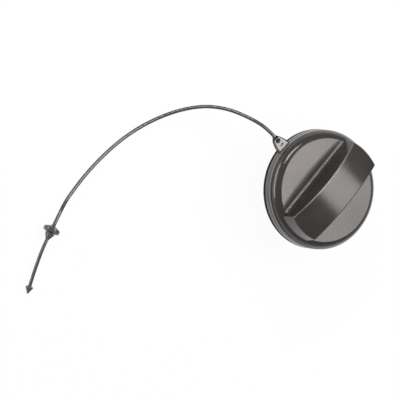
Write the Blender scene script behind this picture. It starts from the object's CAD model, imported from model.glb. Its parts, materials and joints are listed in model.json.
import json
import math

import bmesh
import bpy
import numpy as np
from mathutils import Matrix, Vector


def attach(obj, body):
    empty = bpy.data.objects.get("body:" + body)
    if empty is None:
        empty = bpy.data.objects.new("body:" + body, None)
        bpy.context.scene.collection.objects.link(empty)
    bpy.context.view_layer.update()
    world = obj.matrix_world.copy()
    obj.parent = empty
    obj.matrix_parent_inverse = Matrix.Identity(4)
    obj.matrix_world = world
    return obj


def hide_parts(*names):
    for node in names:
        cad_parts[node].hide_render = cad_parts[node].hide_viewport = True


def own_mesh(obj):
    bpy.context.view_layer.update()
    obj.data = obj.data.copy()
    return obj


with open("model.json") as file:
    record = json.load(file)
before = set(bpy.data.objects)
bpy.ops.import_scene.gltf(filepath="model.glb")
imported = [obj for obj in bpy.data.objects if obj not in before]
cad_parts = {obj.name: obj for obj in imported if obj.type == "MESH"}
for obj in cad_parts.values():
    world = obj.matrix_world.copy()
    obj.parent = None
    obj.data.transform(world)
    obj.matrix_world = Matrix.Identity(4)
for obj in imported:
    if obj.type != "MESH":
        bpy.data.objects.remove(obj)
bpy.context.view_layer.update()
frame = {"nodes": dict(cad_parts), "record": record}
MM = 0.001
MERGE_DISTANCE = 1e-7            # metres within which a grid's points are one

# Points that steer the cord and its pull-through tail, in metres: the corner points of their
# solids' routes, some of them moved by hand by up to 1.1 mm
CORD_POINTS = [
    (-0.00201, -0.04596, 0.03610),
    (-0.00237, -0.05435, 0.03610),
    (-0.00060, -0.06585, 0.02950),
    (0.00300, -0.07705, 0.02080),
    (0.01040, -0.08690, 0.01280),
    (0.02330, -0.09597, 0.00680),
    (0.03908, -0.10355, 0.00330),
    (0.05630, -0.10920, 0.00160),
    (0.07430, -0.11245, 0.00115),
    (0.09100, -0.11378, 0.00115),
    (0.10400, -0.11348, 0.00115),
    (0.11400, -0.11320, 0.00195),
    (0.12380, -0.11258, 0.00526),
    (0.13060, -0.11086, 0.00526),
]
TAIL_POINTS = [
    (0.14068, -0.10831, 0.00526),
    (0.14650, -0.10684, 0.00526),
    (0.15580, -0.10270, 0.00410),
    (0.16385, -0.09870, 0.00300),
    (0.16840, -0.09630, 0.00245),
]
CORD_DIAMETER = 0.0022
TAIL_DIAMETER = 0.0021

# Tether band: an L-shaped ring, in millimetres like all sizes down to the springs
RING_RADIUS = 37.0
RING_WALL = 1.6
RING_BORE = 29.3                 # radius of the hole in the web
RING_TOP = 37.2
RING_FOOT = 33.3
RING_WEB_FOOT = 36.0
RING_ROUND = 0.3

# Tab between the band and the cord
TAB_ANGLE = math.radians(-92.5)  # about Z
TAB_WAY = (math.cos(TAB_ANGLE), math.sin(TAB_ANGLE))
TAB_START = RING_RADIUS - 0.55 * RING_WALL   # radius at which it begins, inside the band
TAB_END = 46.6                   # radius at which it has drawn in to the cord
TAB_BASE_HALF = 4.75             # half its width at the band
TAB_TAPER = 1.9                  # power by which its width falls
TAB_THICKNESS = 2.2
TAB_SQUARENESS = 5               # power of its superellipse section
TAB_CLOSING = (60, 0.35)         # its ends close over 1/60 of its length, by this power
TAB_FALL = 1.1                   # how far it would sink over its whole length
TAB_RISE_START = 0.75            # share of its length from which it rises back to its height
TAB_TOP_SHARE = 0.97             # share of the section's rise from which it is top, not side

# Well and slot in the tab's top; places are radii about Z
WELL_PLACE = 43.0
WELL_SPOT = (WELL_PLACE * TAB_WAY[0], WELL_PLACE * TAB_WAY[1])
WELL_RADIUS = 1.25
WELL_DEPTH = 1.3
WELL_CONE = 0.8                  # power of its slope; 1 is a straight cone
RIM_HEIGHT = 0.12
RIM_SETBACK = 0.15               # from the well's edge to the rim's crest
RIM_WIDTH = 0.18
SLOT_PLACE = 39.5
SLOT_HALF_LENGTH = 1.1
SLOT_HALF_WIDTH = 0.5
SLOT_DEPTH = 0.8
SLOT_EDGE = (1.15, 0.3)          # in half widths: where its side begins, and how wide that is

# Front top edge of the grip, where its leaning wall meets the arch of its top
GRIP_HALF_WIDTH = 11.4           # at its foot
GRIP_FOOT = 44.8
GRIP_LEAN = 0.0857               # tangent of the wall's draft
GRIP_CROWN = 60.8
ARCH_RADIUS = 84.4
EDGE_INSET = 0.23                # the edge is rounded, so its middle lies inside wall and arch
EDGE_PLACE = GRIP_HALF_WIDTH - EDGE_INSET + GRIP_LEAN * GRIP_FOOT
EDGE_DROP = ARCH_RADIUS - GRIP_CROWN + EDGE_INSET
EDGE_RUB = (0.25, 0.75)          # rubbed fully up to the first distance, not past the second
EDGE_FADE = (9, 23)              # distances from the bar's middle between which it weakens
EDGE_FADED = 0.4                 # what is left of it at the second

SKIRT_BAND_MIDDLE = 38.45        # height of the skirt's plain lower band
SKIRT_BAND_HALF = 0.9

# Springs. Each rides on the body at its still end, at the height called still, and shortens as
# the joint makes its travel
SPRINGS = {
    "pressure_spring": {
        "body": "plug", "joint": "pressure_lift", "travel": 2.5, "still": 33.7,
        "coil": {"radius": 9.4, "wire": 1.1, "bottom": 16.3, "top": 33.7, "turns": 5.0},
    },
    "vacuum_spring": {
        "body": "pressure_poppet", "joint": "vacuum_drop", "travel": 2.0, "still": 16.3,
        "coil": {"radius": 5.4, "wire": 0.6, "bottom": 16.3, "top": 24.3, "turns": 5.0},
    },
}
COIL_END_GAIN = 0.25             # rise per turn of the end turns, as a share of the middle's
COIL_END_TURNS = 0.5             # turns at each end that rise so little
COIL_TIP_STEPS = 3               # steps along the wire over which a tip is rounded off

# Camera: where it looks, how it is turned in degrees, how far it stands off, how much it takes
# in there, and its sensor's width
AIM = Vector((0.05959, -0.05631, 0.03075))
AZIMUTH = -54.30
ELEVATION = 59.74
ROLL = 97.0
DISTANCE = 9.0
FRAME_WIDTH = 0.2459
SENSOR = 36.0

# Lamps: the way each stands in from the head, its distance and size in metres, and its power
LAMPS = {
    "overhead_softbox": ((-0.374, 0.150, 1.0), 1.3, (0.66, 0.92), 10.4),
    "edge_strip": ((0.500, -0.866, 0.09), 1.3, (1.20, 0.24), 7.0),
    "side_strip": ((-0.30, -0.72, 0.62), 1.3, (0.60, 0.17), 5.6),
}
HEAD_MIDDLE = Vector((0, 0, 0.045))
OVERHEAD = 0.7                   # upward share of a lamp's way past which it counts as overhead
ROOM_LIGHT = 0.42
FLOOR_GLOW = 0.95                # share of the floor's white that shows without the lamps
FLOOR_REACH = 8.0

# A Mix node's sockets by number, because their names repeat
PLAIN_A, PLAIN_B = 2, 3
COLOUR_A, COLOUR_B, COLOUR_OUT = 6, 7, 2


# ---- Node and colour helpers ---------------------------------------------------------
def linear(code):
    """Linear colour of an sRGB hex code: the sRGB curve undone channel by channel."""
    parts = np.array([int(code[i:i + 2], 16) for i in (1, 3, 5)]) / 255
    parts = np.where(parts <= 0.04045, parts / 12.92, ((parts + 0.055) / 1.055) ** 2.4)
    return (*parts, 1.0)


def add(tree, kind, settings=None, links=None):
    """One node of a kind; settings fill its properties and sockets, links feed its inputs."""
    node = tree.nodes.new(kind)
    for key, value in (settings or {}).items():
        if isinstance(key, str) and hasattr(node, key):
            setattr(node, key, value)
        else:
            node.inputs[key].default_value = value
    for key, source in (links or {}).items():
        tree.links.new(source, node.inputs[key])
    return node


def new_material(name):
    """Empty node material with its output node."""
    material = bpy.data.materials.new(name)
    material.use_nodes = True
    tree = material.node_tree
    tree.nodes.clear()
    return material, tree, tree.nodes.new("ShaderNodeOutputMaterial")


def per_metre(millimetres):
    """Noise scale whose features are that many millimetres across."""
    return 1.0 / (millimetres * MM)


# ---- Mesh helpers --------------------------------------------------------------------
def grid_piece(name, points, material, body, sharp=32.0):
    """Closed skin over a rows by columns grid of points in metres.

    Each face joins four neighbours of the grid. Points that fall together at seams and poles
    are merged, the faces are turned outwards, and edges over the sharp angle stay crisp.
    """
    rows, columns = points.shape[:2]
    index = np.arange(rows * columns).reshape(rows, columns)
    corners = (index[:-1, :-1], index[1:, :-1], index[1:, 1:], index[:-1, 1:])
    faces = np.stack(corners, axis=-1).reshape(-1, 4)
    mesh = bpy.data.meshes.new(name)
    mesh.from_pydata(points.reshape(-1, 3).tolist(), [], faces.tolist())
    shape = bmesh.new()
    shape.from_mesh(mesh)
    bmesh.ops.remove_doubles(shape, verts=shape.verts, dist=MERGE_DISTANCE)
    bmesh.ops.recalc_face_normals(shape, faces=shape.faces)
    shape.to_mesh(mesh)
    shape.free()
    mesh.polygons.foreach_set("use_smooth", np.ones(len(mesh.polygons), dtype=bool))
    mesh.set_sharp_from_angle(angle=math.radians(sharp))
    mesh.materials.append(material)
    piece = bpy.data.objects.new(name, mesh)
    bpy.context.scene.collection.objects.link(piece)
    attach(piece, body)
    return piece


def rounded(corners, steps=6):
    """Profile through (across, along, round) corners, each non-zero round drawn as an arc.

    The arc touches both sides at round * tan(half the turn) from the corner; between the two
    touching points it is swept about its centre in equal steps.
    """
    line = []
    places = np.array([corner[:2] for corner in corners], dtype=float)
    for number, (across, along, size) in enumerate(corners):
        here = places[number]
        if size == 0 or number in (0, len(corners) - 1):
            line.append(here[None, :])
            continue
        before = places[number - 1] - here
        after = places[number + 1] - here
        before /= np.linalg.norm(before)
        after /= np.linalg.norm(after)
        half = math.acos(np.clip(before @ after, -1, 1)) / 2
        middle = (before + after) / np.linalg.norm(before + after)
        centre = here + middle * size / math.sin(half)
        start = here + before * size / math.tan(half) - centre
        end = here + after * size / math.tan(half) - centre
        first = math.atan2(start[1], start[0])
        swing = (math.atan2(end[1], end[0]) - first + math.pi) % (2 * math.pi) - math.pi
        turns = first + swing * np.linspace(0, 1, steps)
        line.append(centre + size * np.stack((np.cos(turns), np.sin(turns)), axis=-1))
    return np.concatenate(line)


def turned(profile, origin, way, count=256):
    """Surface of revolution: a profile of (radius, along) in mm carried round an axis.

    A point is origin + along * way + radius * (cos a * one side + sin a * other side), with a
    running over a full turn. The two sides are unit directions square to the axis, worked out
    from Z, or from X where the axis itself is near Z.
    """
    way = np.array(way, dtype=float)
    way /= np.linalg.norm(way)
    side = np.cross(way, (0.0, 0.0, 1.0) if abs(way[2]) < 0.9 else (1.0, 0.0, 0.0))
    side /= np.linalg.norm(side)
    other = np.cross(way, side)
    turns = np.linspace(0, 2 * math.pi, count + 1)[:, None]
    radius, along = profile[:, 0][None, :, None], profile[:, 1][None, :, None]
    spoke = np.cos(turns)[..., None] * side + np.sin(turns)[..., None] * other
    return np.array(origin) + MM * (along * way + radius * spoke)


def smooth_step(value):
    """0 below 0, 1 above 1 and 3v^2 - 2v^3 between."""
    value = np.clip(value, 0, 1)
    return value * value * (3 - 2 * value)


# ---- Materials -----------------------------------------------------------------------
def reach_mask(tree, place, centre, stretch, reach, edge):
    """Mask of an ellipsoid: 1 inside it and 0 outside.

    It reads the distance from the centre after each axis is multiplied by its stretch, and
    falls from reach to reach + edge; all in millimetres.
    """
    start = [-middle * size * MM for middle, size in zip(centre, stretch)]
    shifted = add(
        tree, "ShaderNodeMapping", {"Location": start, "Scale": stretch}, {"Vector": place},
    ).outputs["Vector"]
    away = add(
        tree, "ShaderNodeVectorMath", {"operation": "LENGTH"}, {0: shifted},
    ).outputs["Value"]
    return add(
        tree, "ShaderNodeMapRange",
        {"From Min": reach * MM, "From Max": (reach + edge) * MM, "To Min": 1.0, "To Max": 0.0},
        {"Value": away},
    ).outputs["Result"]


def grip_edge_mask(tree, place):
    """Mask of the grip's front top edge: 1 along it, 0 away from it, weaker towards the ends.

    The edge lies where y = -(EDGE_PLACE - GRIP_LEAN * z) meets the arch
    z = sqrt(ARCH_RADIUS^2 - x^2) - EDGE_DROP. The mask falls with the distance from it, which
    is the root of the sum of both squared misses.
    """
    at = add(tree, "ShaderNodeSeparateXYZ", {}, {0: place}).outputs
    squared = add(
        tree, "ShaderNodeMath", {"operation": "MULTIPLY"}, {0: at["X"], 1: at["X"]},
    ).outputs[0]
    under_root = add(
        tree, "ShaderNodeMath", {"operation": "SUBTRACT", 0: (ARCH_RADIUS * MM) ** 2},
        {1: squared},
    ).outputs[0]
    arch = add(tree, "ShaderNodeMath", {"operation": "SQRT"}, {0: under_root}).outputs[0]
    over_arch = add(
        tree, "ShaderNodeMath", {"operation": "SUBTRACT"}, {0: at["Z"], 1: arch},
    ).outputs[0]
    off_arch = add(
        tree, "ShaderNodeMath", {"operation": "ADD", 1: EDGE_DROP * MM}, {0: over_arch},
    ).outputs[0]
    wall = add(
        tree, "ShaderNodeMath", {"operation": "MULTIPLY_ADD", 1: -GRIP_LEAN, 2: EDGE_PLACE * MM},
        {0: at["Z"]},
    ).outputs[0]
    off_wall = add(tree, "ShaderNodeMath", {"operation": "ADD"}, {0: wall, 1: at["Y"]}).outputs[0]
    misses = add(
        tree, "ShaderNodeCombineXYZ", {}, {0: off_arch, 1: off_wall},
    ).outputs["Vector"]
    away = add(
        tree, "ShaderNodeVectorMath", {"operation": "LENGTH"}, {0: misses},
    ).outputs["Value"]
    near = add(
        tree, "ShaderNodeMapRange",
        {
            "From Min": EDGE_RUB[0] * MM, "From Max": EDGE_RUB[1] * MM,
            "To Min": 1.0, "To Max": 0.0,
        },
        {"Value": away},
    ).outputs["Result"]
    strength = add(
        tree, "ShaderNodeMapRange",
        {
            "From Min": (EDGE_FADE[0] * MM) ** 2, "From Max": (EDGE_FADE[1] * MM) ** 2,
            "To Min": 1.0, "To Max": EDGE_FADED,
        },
        {"Value": squared},
    ).outputs["Result"]
    return add(
        tree, "ShaderNodeMath", {"operation": "MULTIPLY"}, {0: near, 1: strength},
    ).outputs[0]


def flecked(tree, fine, colour, fleck):
    """The colour with sparse flecks of another where the fine noise is high."""
    sparse = add(
        tree, "ShaderNodeMapRange", {"From Min": 0.60, "From Max": 0.72, "To Max": 0.5},
        {"Value": fine},
    ).outputs["Result"]
    return add(
        tree, "ShaderNodeMix", {"data_type": "RGBA", COLOUR_B: linear(fleck)},
        {0: sparse, COLOUR_A: colour},
    ).outputs[COLOUR_OUT]


def scuffed(tree, place, rough, most):
    """The roughness with thin handling scuffs, drawn out 14 times as long as wide, added."""
    drawn_out = add(
        tree, "ShaderNodeMapping", {"Rotation": (0.2, 0.1, 0.7), "Scale": (1.0, 14.0, 14.0)},
        {"Vector": place},
    ).outputs["Vector"]
    lines = add(
        tree, "ShaderNodeTexNoise", {"Scale": per_metre(9.0), "Detail": 4.0},
        {"Vector": drawn_out},
    ).outputs["Fac"]
    thin = add(
        tree, "ShaderNodeMapRange", {"From Min": 0.64, "From Max": 0.74, "To Max": most},
        {"Value": lines},
    ).outputs["Result"]
    return add(tree, "ShaderNodeMath", {"operation": "ADD"}, {0: rough, 1: thin}).outputs[0]


def dark_edges(tree, colour, edge_colour):
    """The colour darkened, and the shine weakened, where the skin turns edge-on.

    It stands in for the dark surroundings that a thin glossy piece mirrors at its edges and
    that the plain studio doesn't have.
    """
    facing = add(tree, "ShaderNodeLayerWeight", {"Blend": 0.5}).outputs["Facing"]
    edge_on = add(
        tree, "ShaderNodeMapRange", {"From Min": 0.15, "From Max": 0.34}, {"Value": facing},
    ).outputs["Result"]
    shaded = add(
        tree, "ShaderNodeMix", {"data_type": "RGBA", COLOUR_B: linear(edge_colour)},
        {0: edge_on, COLOUR_A: colour},
    ).outputs[COLOUR_OUT]
    shine = add(
        tree, "ShaderNodeMapRange",
        {"From Min": 0.16, "From Max": 0.40, "To Min": 0.5, "To Max": 0.03}, {"Value": facing},
    ).outputs["Result"]
    return shaded, {"Specular IOR Level": shine}


def moulded(name, colours, gloss, sway, ior, drift, peel, grain, scuff=0.0, fleck=None,
            shine_tint="#ffffff", patches=(), edge_colour=None):
    """Skin of an injection-moulded piece.

    A broad noise, drift across, drifts between the two colours and sways the roughness round
    gloss, as the melt's flow does. A middle noise is the orange peel of the tool's surface and
    a fine one its grain; both are bump, given as (width, depth). A stretched, thinned noise
    lays faint handling scuffs into the roughness. Fleck colours a sparse fine noise, for glass
    fibre near the skin. Each patch is a mask function with its settings, and the colour and
    roughness that the skin takes inside it. Widths and depths are in millimetres.
    """
    material, tree, output = new_material(name)
    place = add(tree, "ShaderNodeTexCoord").outputs["Object"]
    flow, skin, fine = (
        add(
            tree, "ShaderNodeTexNoise", {"Scale": per_metre(width), "Detail": detail},
            {"Vector": place},
        ).outputs["Fac"]
        for width, detail in ((drift, 3.0), (peel[0], 1.0), (grain[0], 2.0))
    )
    share = add(
        tree, "ShaderNodeMapRange", {"From Min": 0.35, "From Max": 0.65}, {"Value": flow},
    ).outputs["Result"]
    dark, light = colours
    colour = add(
        tree, "ShaderNodeMix",
        {"data_type": "RGBA", COLOUR_A: linear(dark), COLOUR_B: linear(light)}, {0: share},
    ).outputs[COLOUR_OUT]
    if fleck:
        colour = flecked(tree, fine, colour, fleck)
    rough = add(
        tree, "ShaderNodeMapRange",
        {"From Min": 0.3, "From Max": 0.7, "To Min": gloss - sway, "To Max": gloss + sway},
        {"Value": flow},
    ).outputs["Result"]
    if scuff:
        rough = scuffed(tree, place, rough, scuff)
    for mask_function, settings, patch_colour, patch_gloss in patches:
        mask = mask_function(tree, place, **settings)
        colour = add(
            tree, "ShaderNodeMix", {"data_type": "RGBA", COLOUR_B: linear(patch_colour)},
            {0: mask, COLOUR_A: colour},
        ).outputs[COLOUR_OUT]
        rough = add(
            tree, "ShaderNodeMix", {"data_type": "FLOAT", PLAIN_B: patch_gloss},
            {0: mask, PLAIN_A: rough},
        ).outputs[0]
    shine = {}
    if edge_colour:
        colour, shine = dark_edges(tree, colour, edge_colour)
    peeled = add(
        tree, "ShaderNodeBump", {"Strength": 1.0, "Distance": peel[1] * MM}, {"Height": skin},
    ).outputs["Normal"]
    grained = add(
        tree, "ShaderNodeBump", {"Strength": 1.0, "Distance": grain[1] * MM},
        {"Height": fine, "Normal": peeled},
    ).outputs["Normal"]
    shader = add(
        tree, "ShaderNodeBsdfPrincipled", {"IOR": ior, "Specular Tint": linear(shine_tint)},
        {"Base Color": colour, "Roughness": rough, "Normal": grained, **shine},
    )
    tree.links.new(shader.outputs["BSDF"], output.inputs["Surface"])
    return material


def drawn_wire(name):
    """Bright drawn spring wire: soft metallic shine, a little uneven along the coil.

    A patchy noise drifts the colour and the roughness, and a fine one is the drawing's marks,
    as bump. Real marks are about 0.02 mm apart; they are drawn 0.15 mm apart so that they show.
    """
    material, tree, output = new_material(name)
    place = add(tree, "ShaderNodeTexCoord").outputs["Object"]
    marks, patch = (
        add(
            tree, "ShaderNodeTexNoise", {"Scale": per_metre(width), "Detail": 2.0},
            {"Vector": place},
        ).outputs["Fac"]
        for width in (0.15, 3.0)
    )
    tint = add(
        tree, "ShaderNodeMix",
        {"data_type": "RGBA", COLOUR_A: linear("#a9aaab"), COLOUR_B: linear("#c8c9ca")},
        {0: patch},
    ).outputs[COLOUR_OUT]
    rough = add(
        tree, "ShaderNodeMapRange",
        {"From Min": 0.3, "From Max": 0.7, "To Min": 0.22, "To Max": 0.36}, {"Value": patch},
    ).outputs["Result"]
    bump = add(
        tree, "ShaderNodeBump", {"Strength": 1.0, "Distance": 0.003 * MM}, {"Height": marks},
    ).outputs["Normal"]
    shader = add(
        tree, "ShaderNodeBsdfPrincipled", {"Metallic": 1.0},
        {"Base Color": tint, "Roughness": rough, "Normal": bump},
    )
    tree.links.new(shader.outputs["BSDF"], output.inputs["Surface"])
    return material


skirt_band = {
    "centre": (0, 0, SKIRT_BAND_MIDDLE), "stretch": (0, 0, 1),
    "reach": SKIRT_BAND_HALF, "edge": 0.1,
}
materials = {
    # Nylon with carbon black, moulded in a polished tool: deep warm black, even satin shine,
    # paler on the skirt's plain band and on the grip's rubbed front edge
    "cover_plastic": moulded(
        "moulded_black_nylon", colours=("#242120", "#2b2827"), gloss=0.21, sway=0.03, ior=1.64,
        drift=16.0, peel=(3.0, 0.004), grain=(0.35, 0.0008), scuff=0.015, shine_tint="#fff8f6",
        patches=[
            (reach_mask, skirt_band, "#595653", 0.30),
            (grip_edge_mask, {}, "#777370", 0.16),
        ],
    ),
    # Acetal moulded in a fine-sparked tool: a little paler than the cover, dry satin
    "casing_plastic": moulded(
        "moulded_black_acetal", colours=("#2e2c2b", "#383635"), gloss=0.42, sway=0.05, ior=1.48,
        drift=12.0, peel=(2.0, 0.006), grain=(0.4, 0.003),
    ),
    # Soft polypropylene: dark grey, waxy and softly shining
    "tether_plastic": moulded(
        "moulded_grey_polypropylene", colours=("#454240", "#504d4b"), gloss=0.20, sway=0.04,
        ior=1.50, drift=9.0, peel=(2.2, 0.003), grain=(0.35, 0.0008),
    ),
    # Acetal left in its natural colour: milky off-white with a soft sheen
    "inner_plastic": moulded(
        "moulded_natural_acetal", colours=("#cbc8bf", "#dcd9d1"), gloss=0.38, sway=0.05,
        ior=1.48, drift=10.0, peel=(2.0, 0.005), grain=(0.4, 0.002),
    ),
    # Nitrile rubber, compression moulded: matt black with a faint bloom
    "seal_rubber": moulded(
        "moulded_nitrile_rubber", colours=("#1e1e1f", "#2c2c2e"), gloss=0.62, sway=0.08,
        ior=1.52, drift=5.0, peel=(1.2, 0.010), grain=(0.25, 0.006),
    ),
    # Spring steel, cold drawn: bright grey metal with a soft shine
    "spring_steel": drawn_wire("drawn_spring_steel"),
    # Nylon filled with short glass, dyed green: dry surface with pale fibre flecks
    "valve_plastic": moulded(
        "glass_filled_green_nylon", colours=("#56704f", "#67835f"), gloss=0.50, sway=0.06,
        ior=1.53, drift=8.0, peel=(1.6, 0.006), grain=(0.3, 0.005), fleck="#a9b8a2",
    ),
}
for entry in frame["record"]["subparts"]:
    own = frame["nodes"][entry["node"]].data.materials
    own.clear()
    own.append(materials[entry["material_slot"]])

# The tether's plastic, drawn thin or polished: dark edges beside a lit middle, a bright top on
# the tab and dirt in the tab's well
tab_top = {"centre": (*WELL_SPOT, 0), "stretch": (1, 1, 0), "reach": 5.4, "edge": 0.4}
well_dirt = {**tab_top, "reach": WELL_RADIUS - 0.1, "edge": 0.3}
strand = moulded(
    "polished_grey_polypropylene", colours=("#403d3c", "#4b4846"), gloss=0.20, sway=0.03,
    ior=1.70, drift=9.0, peel=(2.2, 0.0012), grain=(0.35, 0.0004),
    patches=[(reach_mask, tab_top, "#5e5a58", 0.15), (reach_mask, well_dirt, "#1c1b1a", 0.60)],
    edge_colour="#0f0e0e",
)


# ---- Cords ---------------------------------------------------------------------------
def smooth_cord(name, points, diameter, material):
    """Round cord on one smooth open spline that the points steer."""
    curve = bpy.data.curves.new(name, "CURVE")
    curve.dimensions = "3D"
    curve.bevel_depth = diameter / 2
    curve.bevel_resolution = 8
    curve.resolution_u = 16
    curve.use_fill_caps = True
    spline = curve.splines.new("NURBS")
    spline.points.add(len(points) - 1)
    for point, place in zip(spline.points, points):
        point.co = (*place, 1.0)
    spline.order_u = 3
    spline.use_endpoint_u = True
    curve.materials.append(material)
    cord = bpy.data.objects.new(name, curve)
    bpy.context.scene.collection.objects.link(cord)
    return cord


# ---- Tether: ring, tab, stop and arrow -----------------------------------------------
def ring_points():
    """Band with an inward web at its top: an L-shaped profile turned about Z, corners rounded."""
    inner = RING_RADIUS - RING_WALL
    profile = rounded([
        (RING_BORE, RING_WEB_FOOT, 0),
        (inner, RING_WEB_FOOT, RING_ROUND),
        (inner, RING_FOOT, RING_ROUND),
        (RING_RADIUS, RING_FOOT, RING_ROUND),
        (RING_RADIUS, RING_TOP, RING_ROUND),
        (RING_BORE, RING_TOP, RING_ROUND),
        (RING_BORE, RING_WEB_FOOT, 0),
    ])
    return turned(profile, (0, 0, 0), (0, 0, 1), count=384)


def tab_points(rows=230, columns=300):
    """Tab from the ring to the cord, as a squared tube whose top is a height field.

    Along the tab the half width falls from its base by the power TAB_TAPER of the way gone to
    the cord's radius. Each cross-section is a superellipse, |s/w|^5 + |z/h|^5 = 1, and both
    ends close to a point. The tube sinks a little on its way and rises back at the cord. In its
    top, at the distance r from the well's middle, the rim is a bell curve round its crest and
    the well is WELL_DEPTH * (1 - r / WELL_RADIUS)^WELL_CONE deep. The slot's side is a smooth
    step of the distance from a short line across the tab.
    """
    way = np.linspace(0, 1, rows)
    slope, power = TAB_CLOSING
    closing = np.clip(np.minimum(way, 1 - way) * slope, 0, 1)
    inset = np.concatenate(([0.0], closing[1:-1], [0.0])) ** power
    radius = (TAB_START + (TAB_END - TAB_START) * way)[:, None]
    gone = np.clip((radius - RING_RADIUS) / (TAB_END - RING_RADIUS), 0, 1)
    cord_half = CORD_DIAMETER / MM / 2
    half = (cord_half + (TAB_BASE_HALF - cord_half) * (1 - gone ** TAB_TAPER)) * inset[:, None]
    turn = np.linspace(0, 2 * math.pi, columns)[None, :]
    rounding = 2 / TAB_SQUARENESS
    across = half * np.sign(np.cos(turn)) * np.abs(np.cos(turn)) ** rounding
    lift = np.sign(np.sin(turn)) * np.abs(np.sin(turn)) ** rounding
    thick = TAB_THICKNESS / 2 * inset[:, None]
    fall = TAB_FALL * (gone - smooth_step((gone - TAB_RISE_START) / (1 - TAB_RISE_START)))
    height = RING_TOP - TAB_THICKNESS / 2 - fall + thick * lift
    from_well = np.hypot(radius - WELL_PLACE, across)
    rim = np.exp(-((from_well - WELL_RADIUS - RIM_SETBACK) / RIM_WIDTH) ** 2)
    well = np.clip(1 - from_well / WELL_RADIUS, 0, 1) ** WELL_CONE
    past_line = np.abs(across) - SLOT_HALF_LENGTH + SLOT_HALF_WIDTH
    slot_across = np.clip(past_line / SLOT_HALF_WIDTH, 0, None)
    slot_along = np.abs(radius - SLOT_PLACE) / SLOT_HALF_WIDTH
    side, side_width = SLOT_EDGE
    slot = smooth_step((side - np.hypot(slot_across, slot_along)) / side_width)
    upper = lift > TAB_TOP_SHARE
    height += upper * (RIM_HEIGHT * rim - WELL_DEPTH * well - SLOT_DEPTH * slot)
    x = radius * TAB_WAY[0] - across * TAB_WAY[1]
    y = radius * TAB_WAY[1] + across * TAB_WAY[0]
    return MM * np.stack((x, y, height), axis=-1)


def last_run(points):
    """Unit direction of a route's last run."""
    run = np.array(points[-1]) - np.array(points[-2])
    return run / np.linalg.norm(run)


def stop_points():
    """Lens-shaped disc, neck and barb, turned about the cord's last run.

    Each corner of the profile is its radius, its place along the run, and its round.
    """
    profile = rounded([
        (0.0, 0.0, 0),
        (1.1, 0.0, 0.15),
        (1.5, 1.0, 0.6),
        (3.5, 1.95, 0.8),
        (5.25, 2.90, 0.35),
        (5.25, 4.80, 0.35),
        (3.5, 5.60, 0.8),
        (2.1, 5.70, 0.25),
        (2.0, 6.20, 0.2),
        (3.15, 6.25, 0.2),
        (1.0, 10.4, 0.3),
        (0.0, 10.4, 0),
    ])
    return turned(profile, CORD_POINTS[-1], last_run(CORD_POINTS), count=160)


def arrow_points():
    """Barbed cone with a sloping back, turned about the tail's last run.

    Each corner of the profile is its radius, its place along the run, and its round.
    """
    profile = rounded([
        (0.0, -0.3, 0),
        (1.05, -0.3, 0.1),
        (1.25, -0.1, 0.15),
        (2.3, 0.5, 0.12),
        (2.4, 1.1, 0.2),
        (0.25, 5.0, 0.2),
        (0.0, 5.1, 0),
    ])
    return turned(profile, TAIL_POINTS[-1], last_run(TAIL_POINTS), count=128)


def coil_points(radius, wire, bottom, top, turns, steps=60, flats=20):
    """Round wire carried along a helix, its two end turns nearly closed, its tips rounded off.

    The wire's middle is (radius cos a, radius sin a, z). Over the first and last
    COIL_END_TURNS, z gains COIL_END_GAIN of what it gains per turn in between, and over as
    much again it comes smoothly to the full gain. A point of the wire's skin is the middle
    + wire / 2 * (cos b * outward + sin b * square to both), drawn in to the middle at a tip.
    """
    done = np.linspace(0, turns, int(turns * steps) + 1)
    from_end = np.minimum(done, turns - done)
    risen = smooth_step((from_end - COIL_END_TURNS) / COIL_END_TURNS)
    gain = COIL_END_GAIN + (1 - COIL_END_GAIN) * risen
    climbed = np.concatenate(([0.0], np.cumsum((gain[1:] + gain[:-1]) / 2)))
    middle_z = bottom + wire / 2 + climbed / climbed[-1] * (top - bottom - wire)
    angle = 2 * math.pi * done
    outward = np.stack((np.cos(angle), np.sin(angle), 0 * angle), axis=-1)
    middle = radius * outward + np.stack((0 * angle, 0 * angle, middle_z), axis=-1)
    along = np.gradient(middle, axis=0)
    along /= np.linalg.norm(along, axis=1, keepdims=True)
    square = np.cross(along, outward)
    from_tip = np.minimum(from_end * steps / COIL_TIP_STEPS, 1)
    thick = wire / 2 * np.sqrt(np.clip(1 - (1 - from_tip) ** 2, 0, 1))
    around = np.linspace(0, 2 * math.pi, flats + 1)[None, :, None]
    skin = np.cos(around) * outward[:, None, :] + np.sin(around) * square[:, None, :]
    return MM * (middle[:, None, :] + thick[:, None, None] * skin)


# ---- The pieces, each on its body and for its node -----------------------------------
for node, spring in SPRINGS.items():
    coil = spring["coil"]
    wound = grid_piece(
        node + "_coil", coil_points(**coil), materials["spring_steel"], spring["body"],
    )
    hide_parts(node)
    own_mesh(wound)

tether = materials["tether_plastic"]
ring = grid_piece("tether_band", ring_points(), tether, "tether")
tab = grid_piece("tether_tab", tab_points(), strand, "tether", sharp=60.0)
stop = grid_piece("snap_stop", stop_points(), tether, "tether")
arrow = grid_piece("threading_arrow", arrow_points(), tether, "tether")
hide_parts("tether_ring")
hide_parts("tether_ring")
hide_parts("tether_stop")
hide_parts("tether_arrow")
cord = smooth_cord("cord", CORD_POINTS, CORD_DIAMETER, strand)
tail = smooth_cord("tail", TAIL_POINTS, TAIL_DIAMETER, strand)
for piece, node in ((cord, "tether_cord"), (tail, "tether_tail")):
    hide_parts(node)
    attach(piece, "tether")


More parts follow.
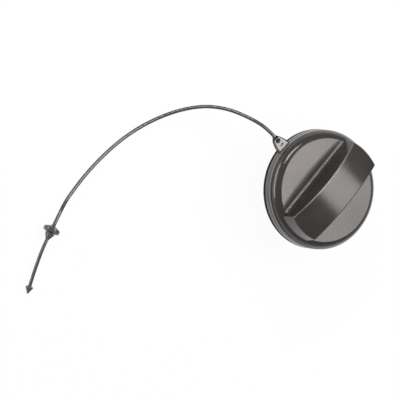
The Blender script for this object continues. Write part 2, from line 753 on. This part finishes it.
# ---- Floor, light and camera ---------------------------------------------------------
def white_floor():
    """Large flat square under the foot; it shows white and still takes the shadow."""
    mesh = bpy.data.meshes.new("floor")
    signs = ((-1, -1), (1, -1), (1, 1), (-1, 1))
    corners = [(FLOOR_REACH * x, FLOOR_REACH * y, 0) for x, y in signs]
    mesh.from_pydata(corners, [], [(0, 1, 2, 3)])
    material, tree, output = new_material("white_studio_floor")
    path = add(tree, "ShaderNodeLightPath").outputs
    seen = path["Is Camera Ray"]
    for ray in ("Is Glossy Ray", "Is Transmission Ray"):
        seen = add(
            tree, "ShaderNodeMath", {"operation": "MAXIMUM"}, {0: seen, 1: path[ray]},
        ).outputs[0]
    share = add(
        tree, "ShaderNodeMath", {"operation": "MULTIPLY", 1: FLOOR_GLOW}, {0: seen},
    ).outputs[0]
    paint = add(tree, "ShaderNodeBsdfDiffuse", {"Color": linear("#f4f4f4")})
    glow = add(tree, "ShaderNodeEmission", {"Color": linear("#ffffff"), "Strength": 1.0})
    mix = add(
        tree, "ShaderNodeMixShader", {}, {0: share, 1: paint.outputs[0], 2: glow.outputs[0]},
    )
    tree.links.new(mix.outputs[0], output.inputs["Surface"])
    mesh.materials.append(material)
    floor = bpy.data.objects.new("floor", mesh)
    bpy.context.scene.collection.objects.link(floor)


def studio():
    """World: white to the camera, a plain grey room to everything else."""
    world = bpy.data.worlds.new("studio")
    bpy.context.scene.world = world
    world.use_nodes = True
    tree = world.node_tree
    tree.nodes.clear()
    path = add(tree, "ShaderNodeLightPath").outputs
    seen = add(
        tree, "ShaderNodeMath", {"operation": "MAXIMUM"},
        {0: path["Is Camera Ray"], 1: path["Is Transmission Ray"]},
    ).outputs[0]
    room = add(tree, "ShaderNodeBackground", {"Color": linear("#ffffff"), "Strength": ROOM_LIGHT})
    white = add(tree, "ShaderNodeBackground", {"Color": linear("#ffffff"), "Strength": 1.0})
    mix = add(
        tree, "ShaderNodeMixShader", {}, {0: seen, 1: room.outputs[0], 2: white.outputs[0]},
    )
    output = tree.nodes.new("ShaderNodeOutputWorld")
    tree.links.new(mix.outputs[0], output.inputs["Surface"])


def lamp(name, way, distance, size, power):
    """Rectangular area light that faces the head.

    The first side of its size lies level, and along X if the lamp is overhead.
    """
    light = bpy.data.lights.new(name, "AREA")
    light.shape = "RECTANGLE"
    light.size, light.size_y = size
    light.energy = power
    away = Vector(way).normalized()
    level = Vector((1, 0, 0)) if away.z > OVERHEAD else Vector((0, 0, 1)).cross(away)
    level = (level - away * level.dot(away)).normalized()
    rows = Matrix((level, away.cross(level), away)).transposed().to_4x4()
    holder = bpy.data.objects.new(name, light)
    holder.matrix_world = Matrix.Translation(HEAD_MIDDLE + away * distance) @ rows
    bpy.context.scene.collection.objects.link(holder)


def long_lens_camera():
    """Long lens whose frame is FRAME_WIDTH wide at the aim point."""
    data = bpy.data.cameras.new("camera")
    data.sensor_width = SENSOR
    data.lens = SENSOR * DISTANCE / FRAME_WIDTH
    data.clip_end = 50.0
    camera = bpy.data.objects.new("camera", data)
    turn = (
        Matrix.Rotation(math.radians(AZIMUTH + 90), 4, "Z")
        @ Matrix.Rotation(math.radians(90 - ELEVATION), 4, "X")
        @ Matrix.Rotation(math.radians(ROLL), 4, "Z")
    )
    camera.matrix_world = Matrix.Translation(AIM + turn.col[2].to_3d() * DISTANCE) @ turn
    bpy.context.scene.collection.objects.link(camera)
    bpy.context.scene.camera = camera


white_floor()
studio()
for name, settings in LAMPS.items():
    lamp(name, *settings)
long_lens_camera()
bpy.context.scene.view_settings.view_transform = "Standard"
